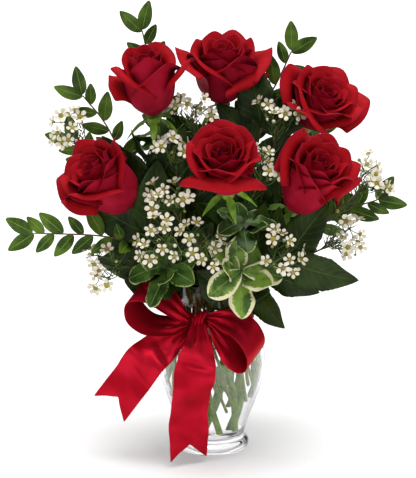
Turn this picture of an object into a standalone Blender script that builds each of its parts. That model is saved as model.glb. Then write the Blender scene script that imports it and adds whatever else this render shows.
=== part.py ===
"""Six red roses with waxflower and mixed greenery in a clear glass vase tied with a ribbon bow.

Metres, +Z up. X runs to the right, Y to the back, and the vase's flat underside is centred on
the origin. Places round the vase are given by an azimuth: 0 is the front (-Y), 90 the right (+X).
"""

import math

import bmesh
import bpy
from mathutils import Matrix, Vector
from mathutils.bvhtree import BVHTree

# ---------------------------------------------------------------- driving dimensions
GAP = 0.0004  # between neighbouring pieces
WALL = 0.003  # glass
FLOOR_Z = 0.010  # top of the vase's thick floor
WATER_Z = 0.104  # water level
NECK_Z = 0.127  # narrowest place above the belly
MOUTH_Z = 0.157  # level of the rim
VASE_SIDES = 32
# Radius and height of the vase's outside, from the foot to the rim.
VASE_OUTLINE = [
    (0.0322, 0.0), (0.0332, 0.0030), (0.0328, 0.0065), (0.0296, 0.0105), (0.0300, 0.0170),
    (0.0340, 0.0290), (0.0390, 0.0420), (0.0452, 0.0600), (0.0485, 0.0760), (0.0470, 0.0920),
    (0.0405, 0.1080), (0.0345, 0.1190), (0.0325, NECK_Z), (0.0340, 0.1380), (0.0378, 0.1490),
    (0.0420, 0.1580),
]

ROSE_STEM_R = 0.0026
BUNDLE_TURN = 95  # degrees that the stems turn round each other between the neck and the floor
BUNDLE_SWELL = 0.38  # and how much further apart they stand in the belly
TWIG_R = 0.0012  # huckleberry
WAX_STEM_R = 0.0009
LEAFY_STEM_R = 0.0015  # salal and pittosporum

RIBBON_W = 0.036
RIBBON_T = 0.0007
BAND_R = 0.0350  # inside of the turn of ribbon round the neck
BAND_Z = (0.1205, 0.1335)  # its lower and upper edge

PETAL_RED = (0.50, 0.010, 0.022)
RIBBON_RED = (0.55, 0.012, 0.035)
LEAF_GREEN = (0.050, 0.150, 0.030)
STEM_GREEN = (0.130, 0.260, 0.050)
DEEP_GREEN = (0.030, 0.085, 0.020)
CREAM_GREEN = (0.300, 0.360, 0.120)
BLOSSOM_WHITE = (0.86, 0.82, 0.76)
CLEAR = (0.90, 0.94, 0.95)

# ---------------------------------------------------------------- where everything goes
# Each rose: the middle of its head, the way it faces, its slot in the neck (azimuth), and the
# width and height of its head. The first is still a bud.
ROSES = {
    1: ((-0.055, -0.020, 0.337), (-0.12, -0.28, 0.95), 240, 0.058, 0.066),
    2: ((0.010, 0.030, 0.338), (0.02, -0.26, 0.96), 180, 0.084, 0.062),
    3: ((-0.092, -0.045, 0.253), (-0.60, -0.44, 0.67), 300, 0.080, 0.067),
    4: ((0.095, 0.010, 0.312), (0.38, -0.54, 0.75), 115, 0.078, 0.052),
    5: ((0.010, -0.085, 0.275), (-0.10, -0.58, 0.81), 0, 0.080, 0.058),
    6: ((0.085, -0.055, 0.257), (0.38, -0.54, 0.75), 60, 0.080, 0.074),
}
ROSE_NECK_R = 0.0140

# Each sprig: its slot in the neck (azimuth, radius), then points that its stem passes on the way
# up, the last being its tip. The tip of a waxflower sprig is the middle of its spray.
HUCKLEBERRY = {
    1: ((212, 0.0125), [(-0.040, 0.030, 0.270), (-0.055, 0.034, 0.342), (-0.062, 0.034, 0.374)]),
    2: ((262, 0.0240), [(-0.070, 0.012, 0.240), (-0.092, 0.012, 0.290), (-0.114, 0.008, 0.320)]),
    3: ((285, 0.0245), [(-0.050, -0.024, 0.186), (-0.092, -0.046, 0.205), (-0.155, -0.046, 0.208)]),
    4: ((148, 0.0125), [(0.030, 0.044, 0.270), (0.058, 0.046, 0.325), (0.071, 0.044, 0.354)]),
    5: ((88, 0.0245), [(0.060, 0.008, 0.184), (0.112, -0.010, 0.218), (0.145, -0.020, 0.232)]),
    6: ((238, 0.0245), [(-0.060, 0.048, 0.190), (-0.098, 0.062, 0.240), (-0.126, 0.060, 0.268)]),
    7: ((128, 0.0245), [(0.050, 0.056, 0.196), (0.090, 0.080, 0.252), (0.104, 0.088, 0.292)]),
}
SALAL = {
    1: ((52, 0.0245), [(0.040, -0.036, 0.170), (0.064, -0.052, 0.186)]),
    2: ((88, 0.0125), [(0.028, 0.010, 0.230), (0.044, 0.014, 0.290)]),
    3: ((308, 0.0245), [(-0.034, -0.034, 0.176), (-0.056, -0.040, 0.206)]),
    4: ((182, 0.0245), [(0.000, 0.046, 0.190), (0.002, 0.066, 0.246)]),
    5: ((272, 0.0195), [(-0.042, 0.002, 0.205), (-0.054, -0.014, 0.240)]),
    6: ((112, 0.0185), [(0.040, 0.008, 0.200), (0.072, 0.004, 0.228)]),
}
PITTOSPORUM = {
    1: ((22, 0.0250), [(0.018, -0.048, 0.168), (0.026, -0.068, 0.181)]),
    2: ((332, 0.0250), [(-0.026, -0.046, 0.168), (-0.042, -0.064, 0.184)]),
    3: ((38, 0.0180), [(0.022, -0.040, 0.190), (0.028, -0.060, 0.224)]),
    4: ((270, 0.0150), [(-0.030, 0.004, 0.230), (-0.048, 0.006, 0.286)]),
    5: ((156, 0.0250), [(0.026, 0.050, 0.176), (0.046, 0.078, 0.206)]),
}
WAXFLOWER = {
    1: ((250, 0.0180), [(-0.060, 0.026, 0.215), (-0.126, 0.000, 0.290)]),
    2: ((330, 0.0120), [(-0.010, -0.004, 0.230), (-0.018, 0.000, 0.306)]),
    3: ((318, 0.0160), [(-0.026, -0.022, 0.220), (-0.034, -0.030, 0.282)]),
    4: ((96, 0.0190), [(0.042, 0.004, 0.220), (0.060, -0.006, 0.302)]),
    5: ((30, 0.0170), [(0.026, -0.024, 0.210), (0.048, -0.030, 0.268)]),
    6: ((74, 0.0245), [(0.076, -0.016, 0.190), (0.140, -0.024, 0.252)]),
    7: ((66, 0.0200), [(0.062, -0.024, 0.172), (0.116, -0.036, 0.202)]),
    8: ((322, 0.0200), [(-0.022, -0.034, 0.200), (-0.040, -0.054, 0.244)]),
    9: ((300, 0.0250), [(-0.044, -0.030, 0.174), (-0.092, -0.056, 0.180)]),
    10: ((350, 0.0190), [(-0.006, -0.044, 0.178), (-0.010, -0.082, 0.206)]),
    11: ((40, 0.0250), [(0.036, -0.044, 0.168), (0.062, -0.074, 0.196)]),
    12: ((340, 0.0190), [(-0.022, -0.044, 0.180), (-0.046, -0.074, 0.208)]),
    13: ((212, 0.0190), [(-0.022, 0.036, 0.200), (-0.044, 0.064, 0.266)]),
    14: ((150, 0.0190), [(0.028, 0.040, 0.190), (0.058, 0.072, 0.242)]),
}


# ---------------------------------------------------------------- shared geometry
def around(azimuth, radius, height):
    """The point at that azimuth, distance from the vase's axis, and height."""
    turn = math.radians(azimuth)
    return Vector((radius * math.sin(turn), -radius * math.cos(turn), height))


def in_vase(azimuth, neck_radius, height):
    """Where a stem is at a height below the neck: the whole bundle turns and swells there."""
    depth = (NECK_Z - height) / NECK_Z
    swell = 1 + BUNDLE_SWELL * math.sin(math.pi * depth)
    return around(azimuth + BUNDLE_TURN * depth, neck_radius * swell, height)


def smooth_line(points, per_span):
    """A smooth curve that passes through the points, as a list of points."""
    knots = [Vector(p) for p in points]
    knots = [2 * knots[0] - knots[1], *knots, 2 * knots[-1] - knots[-2]]
    line = []
    for a, b, c, d in zip(knots, knots[1:], knots[2:], knots[3:]):
        for i in range(per_span):
            t = i / per_span
            bend = (2 * a - 5 * b + 4 * c - d) * t**2 + (3 * b - a - 3 * c + d) * t**3
            line.append(0.5 * (2 * b + (c - a) * t + bend))
    return [*line, knots[-2]]


def along(line, share):
    """The point at that share of the line's length, and the line's direction there."""
    lengths = [(b - a).length for a, b in zip(line, line[1:])]
    left = share * sum(lengths)
    for (a, b), length in zip(zip(line, line[1:]), lengths):
        if left <= length + 1e-6:
            break
        left -= length
    direction = (b - a).normalized()
    return a + direction * min(left, length), direction


def tube(lines, radius, sides, taper=1.0):
    """A mesh of closed tubes, one along each line. Each narrows to taper times its radius."""
    curve = bpy.data.curves.new("tube", "CURVE")
    curve.dimensions = "3D"
    curve.bevel_depth = radius
    curve.bevel_resolution = (sides - 4) // 2
    curve.use_fill_caps = True
    for line in lines:
        spline = curve.splines.new("POLY")
        spline.points.add(len(line) - 1)
        for i, (point, place) in enumerate(zip(spline.points, line)):
            point.co = (*place, 1)
            point.radius = 1 + (taper - 1) * i / (len(line) - 1)
    guide = bpy.data.objects.new("tube", curve)
    mesh = bpy.data.meshes.new_from_object(guide)
    bpy.data.objects.remove(guide)
    bm = bmesh.new()
    bm.from_mesh(mesh)
    bmesh.ops.remove_doubles(bm, verts=bm.verts, dist=1e-6)
    bm.to_mesh(mesh)
    bm.free()
    return mesh


def lens(bm, base, direction, normal, length, width, thick, sides=6):
    """Adds a thin pointed lens, the plain shape of a leaf or a sepal, growing from base."""
    made = bmesh.ops.create_uvsphere(bm, u_segments=sides, v_segments=2, radius=0.5)["verts"]
    side = direction.cross(normal).normalized()
    turn = Matrix((side, direction, side.cross(direction))).transposed().to_4x4()
    size = Matrix.Diagonal((width, length, thick, 1))
    place = Matrix.Translation(base + direction * length / 2)
    bmesh.ops.transform(bm, matrix=place @ turn @ size, verts=made)


def finish_mesh(bm, name):
    """Ends a bmesh as a mesh with its faces pointing outwards."""
    bmesh.ops.recalc_face_normals(bm, faces=bm.faces)
    mesh = bpy.data.meshes.new(name)
    bm.to_mesh(mesh)
    bm.free()
    return mesh


def finish_material(name, colour, roughness, metallic=0.0, transmission=0.0):
    """A Principled finish."""
    found = bpy.data.materials.get(name) or bpy.data.materials.new(name)
    found.use_nodes = True
    shader = found.node_tree.nodes["Principled BSDF"]
    shader.inputs["Base Color"].default_value = (*colour, 1)
    shader.inputs["Roughness"].default_value = roughness
    shader.inputs["Metallic"].default_value = metallic
    shader.inputs["Transmission Weight"].default_value = transmission
    return found


def add(name, mesh, material, parent=None):
    """Puts a mesh in the scene as a named piece, shaded smooth where it is round."""
    mesh.materials.clear()
    mesh.materials.append(material)
    mesh.shade_smooth()
    mesh.set_sharp_from_angle(angle=math.radians(40))
    piece = bpy.data.objects.new(name, mesh)
    bpy.context.scene.collection.objects.link(piece)
    piece.parent = parent
    return piece


def unite(piece, extras):
    """Grows a mesh of leaves, sepals or side stems onto the piece, as one solid."""
    helper = bpy.data.objects.new(piece.name + "_extras", extras)
    bpy.context.scene.collection.objects.link(helper)
    helper.parent = piece.parent
    helper.hide_render = True
    helper.display_type = "WIRE"
    union = piece.modifiers.new("Union", "BOOLEAN")
    union.operation = "UNION"
    union.solver = "EXACT"
    union.use_self = True
    union.object = helper


# ---------------------------------------------------------------- room between pieces
standing = {}  # the surface of each piece already built, by its name


def surface_of(bm):
    return BVHTree.FromBMesh(bm)


def stand(piece):
    """Notes a piece as it is now, so that the leaves of the others grow clear of it."""
    bpy.context.view_layer.update()
    bm = bmesh.new()
    bm.from_object(piece, bpy.context.evaluated_depsgraph_get())
    bm.transform(piece.matrix_world)
    standing[piece.name] = surface_of(bm)
    bm.free()


def holds(surface, point):
    """Whether the point lies inside the closed surface: a ray from it crosses an odd count."""
    crossings = 0
    hit = surface.ray_cast(point, Vector((0, 0, 1)))[0]
    while hit:
        crossings += 1
        hit = surface.ray_cast(hit + Vector((0, 0, 1e-5)), Vector((0, 0, 1)))[0]
    return crossings % 2 == 1


def is_clear(own, base, direction, normal, length, width, thick=0.0022):
    """Whether a leaf of that size would stay clear of every piece but its own."""
    bm = bmesh.new()
    lens(bm, base, direction, normal, length, width + 0.001, thick, 8)
    leaf = surface_of(bm)
    bm.free()
    middle = base + direction * length / 2
    others = [surface for name, surface in standing.items() if name != own]
    return not any(other.overlap(leaf) or holds(other, middle) for other in others)


# ---------------------------------------------------------------- vase and water
def turned(outline, sides):
    """A solid of revolution about Z from an outline that starts and ends on the axis."""
    bm = bmesh.new()
    corners = [bm.verts.new((radius, 0, height)) for radius, height in outline]
    edges = [bm.edges.new(pair) for pair in zip(corners, corners[1:])]
    bmesh.ops.spin(
        bm, geom=corners + edges, cent=(0, 0, 0), axis=(0, 0, 1),
        angle=math.tau, steps=sides, use_merge=True,
    )
    bmesh.ops.remove_doubles(bm, verts=bm.verts, dist=1e-6)
    return bm


def inner_outline(top, inset):
    """The outline of the space inside the glass from the floor up to a height, inset from it."""
    inside = [(r - WALL - inset, z) for r, z in VASE_OUTLINE if FLOOR_Z + 0.005 < z < top]
    start = (VASE_OUTLINE[3][0] - WALL - 0.002 - inset, FLOOR_Z + inset)
    return [start, *inside]


def make_vase():
    rim_r, rim_z = VASE_OUTLINE[-1]
    lip = [(rim_r - WALL / 2, rim_z + WALL / 4), (rim_r - WALL, rim_z)]
    inside = inner_outline(rim_z, 0)[::-1]
    outline = [(0, 0), *VASE_OUTLINE, *lip, *inside, (0, FLOOR_Z)]
    mesh = finish_mesh(turned(outline, VASE_SIDES), "glass_vase")
    stand(add("glass_vase", mesh, finish_material("glass", CLEAR, 0.02, transmission=1.0)))


def make_water(wet_stems):
    """The water is cut away round each stem that stands in it."""
    walls = inner_outline(WATER_Z, GAP)
    r_low, z_low = walls[-1]
    r_up, z_up = next((r - WALL - GAP, z) for r, z in VASE_OUTLINE if z > WATER_Z)
    edge = r_low + (r_up - r_low) * (WATER_Z - z_low) / (z_up - z_low)
    outline = [(0, FLOOR_Z + GAP), *walls, (edge, WATER_Z), (0, WATER_Z)]
    mesh = finish_mesh(turned(outline, VASE_SIDES), "water")
    water = add("water", mesh, finish_material("water", CLEAR, 0.0, transmission=1.0))
    bm = bmesh.new()
    for line, radius, sides in wet_stems:
        bm.from_mesh(tube([line], radius + GAP, sides))
    cutter = bpy.data.objects.new("water_cutter", finish_mesh(bm, "water_cutter"))
    bpy.context.scene.collection.objects.link(cutter)
    cutter.hide_render = True
    cutter.display_type = "WIRE"
    cut = water.modifiers.new("Stems", "BOOLEAN")
    cut.operation = "DIFFERENCE"
    cut.solver = "EXACT"
    cut.use_self = True
    cut.object = cutter


# ---------------------------------------------------------------- ribbon
# Each strip: points down its middle, the way its width lies at both ends of the list, and how
# wide it is there as a share of the ribbon's width; gathered at the knot, flat further out.
STRIPS = {
    "bow_loop_left": (
        [(-0.0212, -0.0440, 0.1300), (-0.0360, -0.0450, 0.1450), (-0.0540, -0.0490, 0.1580),
         (-0.0685, -0.0505, 0.1550), (-0.0680, -0.0520, 0.1400), (-0.0555, -0.0522, 0.1285),
         (-0.0365, -0.0500, 0.1250), (-0.0212, -0.0450, 0.1255)],
        [(0.05, 0.50, 0.85), (0.30, 0.76, 0.58), (0.30, 0.84, 0.45), (0.34, 0.88, 0.30),
         (0.38, 0.88, 0.28), (0.36, 0.88, 0.30), (0.28, 0.80, 0.54), (0.05, 0.60, 0.80)],
        [0.28, 0.75, 0.92, 1.0, 1.0, 0.95, 0.70, 0.24],
    ),
    "bow_loop_right": (
        [(-0.0033, -0.0445, 0.1320), (0.0150, -0.0500, 0.1305), (0.0300, -0.0540, 0.1220),
         (0.0380, -0.0560, 0.1085), (0.0365, -0.0565, 0.0975), (0.0290, -0.0565, 0.0955),
         (0.0180, -0.0560, 0.1030), (0.0060, -0.0510, 0.1160), (-0.0033, -0.0450, 0.1262)],
        [(0.10, 0.30, 0.95), (0.38, 0.70, 0.60), (0.42, 0.80, 0.43), (0.44, 0.82, 0.36),
         (0.44, 0.82, 0.36), (0.44, 0.82, 0.36), (0.42, 0.78, 0.46), (0.35, 0.64, 0.68),
         (0.10, 0.45, 0.89)],
        [0.22, 0.70, 0.95, 1.0, 1.0, 1.0, 0.90, 0.55, 0.20],
    ),
    "ribbon_tail_left": (
        [(-0.0220, -0.0440, 0.1190), (-0.0400, -0.0560, 0.1120), (-0.0590, -0.0640, 0.0970),
         (-0.0730, -0.0625, 0.0770), (-0.0913, -0.0550, 0.0500)],
        [(0.55, -0.35, -0.76), (0.62, -0.34, -0.70), (0.67, -0.30, -0.68),
         (0.68, -0.26, -0.68), (0.70, -0.22, -0.68)],
        [0.24, 0.80, 1.0, 1.0, 1.0],
    ),
    "ribbon_tail_front": (
        [(-0.0122, -0.0500, 0.1190), (-0.0128, -0.0640, 0.1040), (-0.0150, -0.0690, 0.0880),
         (-0.0190, -0.0655, 0.0600), (-0.0206, -0.0600, 0.0300), (-0.0208, -0.0590, 0.0052)],
        [(1.0, 0.05, 0.0), (0.98, 0.15, -0.10), (0.98, 0.18, -0.08),
         (0.95, 0.30, 0.0), (0.93, 0.36, 0.0), (0.93, 0.36, 0.0)],
        [0.38, 0.88, 1.0, 1.0, 1.0, 1.0],
    ),
}
KNOT_SIZE = (0.0160, 0.0105, 0.0145)
KNOT_PLACE = (-0.0122, -0.0430, 0.1295)
NOTCH = 0.13  # depth of the V cut in a tail's end, as a share of its length


def strip_mesh(name, middle, width_ways, shares, notch):
    """A strip of ribbon that follows its middle line, as a thin closed shell."""
    steps = 3
    line = smooth_line(middle, steps)
    ways = smooth_line(width_ways, steps)
    spans = smooth_line([(share, 0, 0) for share in shares], steps)
    bm = bmesh.new()
    bmesh.ops.create_grid(bm, x_segments=2, y_segments=len(line) - 1, size=0.5)
    for vert in bm.verts:
        across = 2 * vert.co.x
        share = (vert.co.y + 0.5) * (1 - notch * (1 - abs(across)))
        row = share * (len(line) - 1)
        low = min(int(row), len(line) - 2)
        t = row - low
        half = 0.5 * RIBBON_W * spans[low].lerp(spans[low + 1], t).x
        way = ways[low].lerp(ways[low + 1], t).normalized()
        vert.co = line[low].lerp(line[low + 1], t) + across * half * way
    bmesh.ops.recalc_face_normals(bm, faces=bm.faces)
    bmesh.ops.solidify(bm, geom=bm.faces, thickness=RIBBON_T)
    return finish_mesh(bm, name)


def make_ribbon():
    satin = finish_material("satin", RIBBON_RED, 0.35)
    low, high = BAND_Z
    band = [(BAND_R, low), (BAND_R + 0.0012, low), (BAND_R + 0.0026, (low + high) / 2),
            (BAND_R + 0.0018, high), (BAND_R, high), (BAND_R, low)]
    neck_band = add("ribbon_neck_band", finish_mesh(turned(band, 24), "ribbon_neck_band"), satin)
    bm = bmesh.new()
    bmesh.ops.create_cube(bm, size=1.0)
    bmesh.ops.transform(bm, matrix=Matrix.Diagonal((*KNOT_SIZE, 1)), verts=bm.verts)
    bmesh.ops.bevel(
        bm, geom=bm.edges[:] + bm.verts[:], offset=0.0032, segments=2, profile=0.5,
        affect="EDGES", material=-1,
    )
    knot = add("bow_knot", finish_mesh(bm, "bow_knot"), satin)
    knot.location = KNOT_PLACE
    pieces = [neck_band, knot]
    for name, (middle, ways, shares) in STRIPS.items():
        notch = NOTCH if "tail" in name else 0
        pieces.append(add(name, strip_mesh(name, middle, ways, shares, notch), satin))
    for piece in pieces:
        stand(piece)


# ---------------------------------------------------------------- roses
HIP_LENGTH = 0.011
# A bloom's outline above its hip, as shares of half its width and of its height: a cup of petals,
# its rim, and the swirl inside.
BLOOM_OUTLINE = [
    (0, 0), (0.24, 0.01), (0.62, 0.13), (0.84, 0.36), (0.90, 0.60),
    (1.0, 0.81), (0.81, 0.91), (0.54, 0.89), (0.27, 0.98), (0, 1.0),
]
HIP_OUTLINE = [
    (0, -HIP_LENGTH), (0.0032, -HIP_LENGTH), (0.0062, -0.0070), (0.0066, -0.0030),
    (0.0080, -0.0006), (0, -0.0006),
]


def make_rose(number, middle, facing, slot, width, height, wet_stems):
    """A rose's petals, its hip with five sepals, and its stem down through the neck."""
    up = Vector(facing).normalized()
    place = bpy.data.objects.new(f"rose_{number}", None)
    bpy.context.scene.collection.objects.link(place)
    place.location = Vector(middle) - up * height / 2
    place.rotation_euler = up.to_track_quat("Z", "Y").to_euler()

    bm = turned([(r * width / 2, z * height) for r, z in BLOOM_OUTLINE], 20)
    for vert in bm.verts:
        lobes = 1 + 0.05 * math.sin(5 * math.atan2(vert.co.y, vert.co.x) + number)
        vert.co.xy = vert.co.xy * lobes
    red = finish_material("petal", PETAL_RED, 0.55)
    bloom = add(f"rose_{number}_bloom", finish_mesh(bm, "bloom"), red, place)

    green = finish_material("stem", STEM_GREEN, 0.5)
    calyx = add(f"rose_{number}_calyx", finish_mesh(turned(HIP_OUTLINE, 10), "hip"), green, place)
    bm = bmesh.new()
    for i in range(5):
        out = around(72 * i + 20, 1, 0)
        down = (out + Vector((0, 0, -0.22))).normalized()
        lens(bm, out * 0.005 + Vector((0, 0, -0.0038)), down, Vector((0, 0, 1)), 0.024, 0.0075, 0.0012)
    unite(calyx, finish_mesh(bm, "sepals"))

    base = place.location - up * (HIP_LENGTH + GAP)
    inside = [in_vase(slot, ROSE_NECK_R, height) for height in (0.0175, 0.060, NECK_Z)]
    mouth = around(slot, ROSE_NECK_R + 0.0045, MOUTH_Z)
    line = smooth_line([*inside, mouth, base - up * 0.034, base - up * 0.010, base], 2)
    stem = add(f"rose_{number}_stem", tube([line], ROSE_STEM_R, 6), green)
    wet_stems.append((line, ROSE_STEM_R, 6))
    for piece in (bloom, calyx, stem):
        stand(piece)


# ---------------------------------------------------------------- greenery and waxflower
def sprig_line(slot, points, number):
    """A sprig's stem, from its cut end in the water, through the neck, to its tip."""
    azimuth, radius = slot
    depth = 0.040 + 0.007 * (number % 4)
    inside = [in_vase(azimuth, radius, height) for height in (depth, 0.085, NECK_Z)]
    mouth = around(azimuth, radius + 0.0065, MOUTH_Z)
    return smooth_line([*inside, mouth, *points], 2)


def facing_of(line):
    """The way a sprig's leaves face: outwards from the bouquet, and a little up."""
    tip = line[-1]
    back = 1 if tip.y > 0.040 else -1
    return Vector((0.4 * tip.x, 0.10 * back, 0.03)).normalized()


def leaf_places(line, count, first, angle, length):
    """Places for alternate leaves from a share of the stem to its tip, and one at the tip."""
    face = facing_of(line)
    for i in range(count):
        last = i == count - 1
        share = 1.0 if last else first + (0.99 - first) * i / (count - 1)
        point, way = along(line, share)
        normal = (face - way * face.dot(way)).normalized()
        side = way.cross(normal) * (1 if i % 2 else -1)
        turn = math.radians(8 if last else angle + 6 * math.sin(2.4 * i))
        leaf_way = (way * math.cos(turn) + side * math.sin(turn) + normal * 0.12).normalized()
        size = length * (0.86 + 0.14 * math.cos(1.7 * i))
        yield point - leaf_way * 0.0012, leaf_way, normal, size


def rosette_places(line, count, length):
    """Places for leaves that spread from the tip of a stem, and a few below it."""
    _, way = along(line, 1.0)
    across = way.cross(Vector((0, 0, 1))).normalized()
    other = way.cross(across)
    for i in range(count):
        turn = math.radians(137.5 * i + 30)
        lean = 0.95 if i < 5 else 0.45
        out = across * math.cos(turn) + other * math.sin(turn)
        point = line[-1] - way * (0.0008 + 0.0030 * i)
        leaf_way = (out * lean + way * (1.1 - lean)).normalized()
        yield point, leaf_way, way, length * (1 - 0.05 * (i % 3))


def make_stem(name, line, radius, colour, wet_stems):
    """The bare stem of a sprig."""
    stem = add(name, tube([line], radius, 4, taper=0.7), finish_material(*colour, 0.45))
    wet_stems.append((line, radius, 4))
    stand(stem)
    return stem


def grow_leaves(stem, places, width_share, sides):
    """Leaves on a stem. A leaf with no room beside what is already there is left out."""
    bm = bmesh.new()
    for point, way, normal, length in places:
        if is_clear(stem.name, point, way, normal, length, length * width_share):
            lens(bm, point, way, normal, length, length * width_share, 0.0012, sides)
    unite(stem, finish_mesh(bm, stem.name + "_leaves"))
    stand(stem)


SPRAY_R = 0.024
BLOSSOM_R = 0.0052
BLOSSOM_H = 0.0050


def cup(bm, middle, aim, reach):
    """Adds a side stem and the blossom that it ends in: a five-sided cup that opens upwards."""
    turn = aim.to_track_quat("Z", "Y").to_matrix().to_4x4()
    for radius_low, radius_high, height, shift, sides in (
        (0.0005, 0.0007, reach, -reach / 2, 3),
        (0.0010, BLOSSOM_R, BLOSSOM_H, 0, 5),
    ):
        bmesh.ops.create_cone(
            bm, cap_ends=True, segments=sides, radius1=radius_low, radius2=radius_high,
            depth=height, matrix=Matrix.Translation(middle + aim * shift) @ turn,
        )


def grow_blossoms(stem, line, count):
    """A waxflower's side stems and blossoms, spread over the end of its stem."""
    tip, way = along(line, 1.0)
    across = way.cross(Vector((0, 0, 1))).normalized()
    other = way.cross(across)
    bm = bmesh.new()
    for i in range(count):
        turn = math.radians(137.5 * i + 25)
        reach = SPRAY_R * math.sqrt((i + 0.5) / count)
        out = across * math.cos(turn) + other * math.sin(turn)
        blossom = tip + out * reach + way * (0.012 - 0.35 * reach)
        root = tip - way * (0.012 + 0.30 * reach)
        aim = (blossom - root).normalized()
        length = (blossom - root).length
        cup_free = is_clear(stem.name, blossom - out * 0.0065, out, aim, 0.013, 0.013, 0.008)
        if cup_free and is_clear(stem.name, root, aim, out, length, 0.002):
            cup(bm, blossom, aim, length)
    unite(stem, finish_mesh(bm, stem.name + "_blossoms"))
    stand(stem)


def make_greenery(wet_stems):
    """All the stems first, then what grows on them."""
    kinds = {
        "salal": (SALAL, LEAFY_STEM_R, DEEP_GREEN),
        "pittosporum": (PITTOSPORUM, LEAFY_STEM_R, CREAM_GREEN),
        "huckleberry": (HUCKLEBERRY, TWIG_R, LEAF_GREEN),
        "waxflower": (WAXFLOWER, WAX_STEM_R, BLOSSOM_WHITE),
    }
    sprigs = []
    for kind, (plan, radius, colour) in kinds.items():
        for number, (slot, points) in plan.items():
            line = sprig_line(slot, points, number)
            stem = make_stem(f"{kind}_{number}", line, radius, (kind, colour), wet_stems)
            sprigs.append((kind, stem, line))
    for kind, stem, line in sprigs:
        if kind == "salal":
            grow_leaves(stem, leaf_places(line, 3, 0.80, 55, 0.066), 0.56, 8)
        elif kind == "pittosporum":
            grow_leaves(stem, rosette_places(line, 7, 0.036), 0.48, 8)
        elif kind == "huckleberry":
            grow_leaves(stem, leaf_places(line, 10, 0.62, 52, 0.030), 0.42, 6)
        else:
            grow_blossoms(stem, line, 8)


# ---------------------------------------------------------------- the whole arrangement
for old in list(bpy.data.objects):
    bpy.data.objects.remove(old)
make_vase()
make_ribbon()
stems_in_water = []
for number, plan in ROSES.items():
    make_rose(number, *plan, stems_in_water)
make_greenery(stems_in_water)
make_water(stems_in_water)
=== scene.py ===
import math

import bmesh
import bpy
from mathutils import Matrix, Vector


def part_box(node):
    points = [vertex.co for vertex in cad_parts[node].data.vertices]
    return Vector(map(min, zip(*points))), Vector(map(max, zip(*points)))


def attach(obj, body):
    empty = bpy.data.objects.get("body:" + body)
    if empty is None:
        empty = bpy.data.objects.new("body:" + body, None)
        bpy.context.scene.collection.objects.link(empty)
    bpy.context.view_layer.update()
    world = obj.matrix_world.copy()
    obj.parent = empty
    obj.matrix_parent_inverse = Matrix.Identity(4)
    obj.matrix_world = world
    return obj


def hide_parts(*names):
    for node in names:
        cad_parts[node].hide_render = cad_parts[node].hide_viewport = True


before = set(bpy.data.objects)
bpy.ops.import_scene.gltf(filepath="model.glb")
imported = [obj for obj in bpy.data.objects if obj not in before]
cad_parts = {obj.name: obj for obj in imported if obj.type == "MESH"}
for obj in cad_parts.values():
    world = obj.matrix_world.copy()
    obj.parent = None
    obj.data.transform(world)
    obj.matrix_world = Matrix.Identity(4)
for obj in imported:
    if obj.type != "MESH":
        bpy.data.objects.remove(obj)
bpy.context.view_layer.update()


# ------------------------ the glass vase
# A blown clear-glass vase: thick foot, round belly, narrow neck and a flared, fire-polished rim.
# The wall is 3 mm, and the glass is very slightly wavy, as blown glass is.
WALL = 0.003
FLOOR_Z = 0.010
FLOOR_FILLET = 0.0035  # the round corner between floor and wall, inside
NECK_Z = 0.127
WAIST_R = 0.0300
# Radius and height of the outside, from the foot to the rim.
VASE_OUTLINE = [
    (0.0322, 0.0), (0.0332, 0.0030), (0.0328, 0.0065), (0.0296, 0.0105), (WAIST_R, 0.0170),
    (0.0340, 0.0290), (0.0390, 0.0420), (0.0452, 0.0600), (0.0485, 0.0760), (0.0470, 0.0920),
    (0.0405, 0.1080), (0.0345, 0.1190), (0.0325, NECK_Z), (0.0340, 0.1380), (0.0378, 0.1490),
    (0.0420, 0.1580),
]
# The polished lip, as shares of the wall inwards and up from the rim.
LIP = [(0.2, 0.22), (0.75, 0.12)]
UNDERSIDE = [(0, 0.0008), (0.024, 0.0008)]  # it stands on a ring, and is hollow inside that
ROUND_STEPS = 96
CLEAR_GLASS = (0.978, 0.966, 0.986)
PAINTED_EDGE_SHADE_OF_GLASS = (0.26, 0.21, 0.28)  # painted shade where the wall is seen edge-on, for the dark surroundings a real vase refracts there, on top of the glass's faint tint


class Value:
    """A number or colour on a shader socket. Arithmetic on it adds the Math nodes."""

    def __init__(self, finish, socket):
        self.finish = finish
        self.socket = socket

    def maths(self, operation, *values):
        inputs = dict(enumerate(values))
        return self.finish.node("ShaderNodeMath", {"operation": operation}, inputs)

    def __add__(self, other):
        return self.maths("ADD", self, other)

    def __sub__(self, other):
        return self.maths("SUBTRACT", self, other)

    def __rsub__(self, other):
        return self.maths("SUBTRACT", other, self)

    def __mul__(self, other):
        return self.maths("MULTIPLY", self, other)

    def __pow__(self, other):
        return self.maths("POWER", self, other)

    def __abs__(self):
        return self.maths("ABSOLUTE", self)

    __radd__ = __add__


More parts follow.
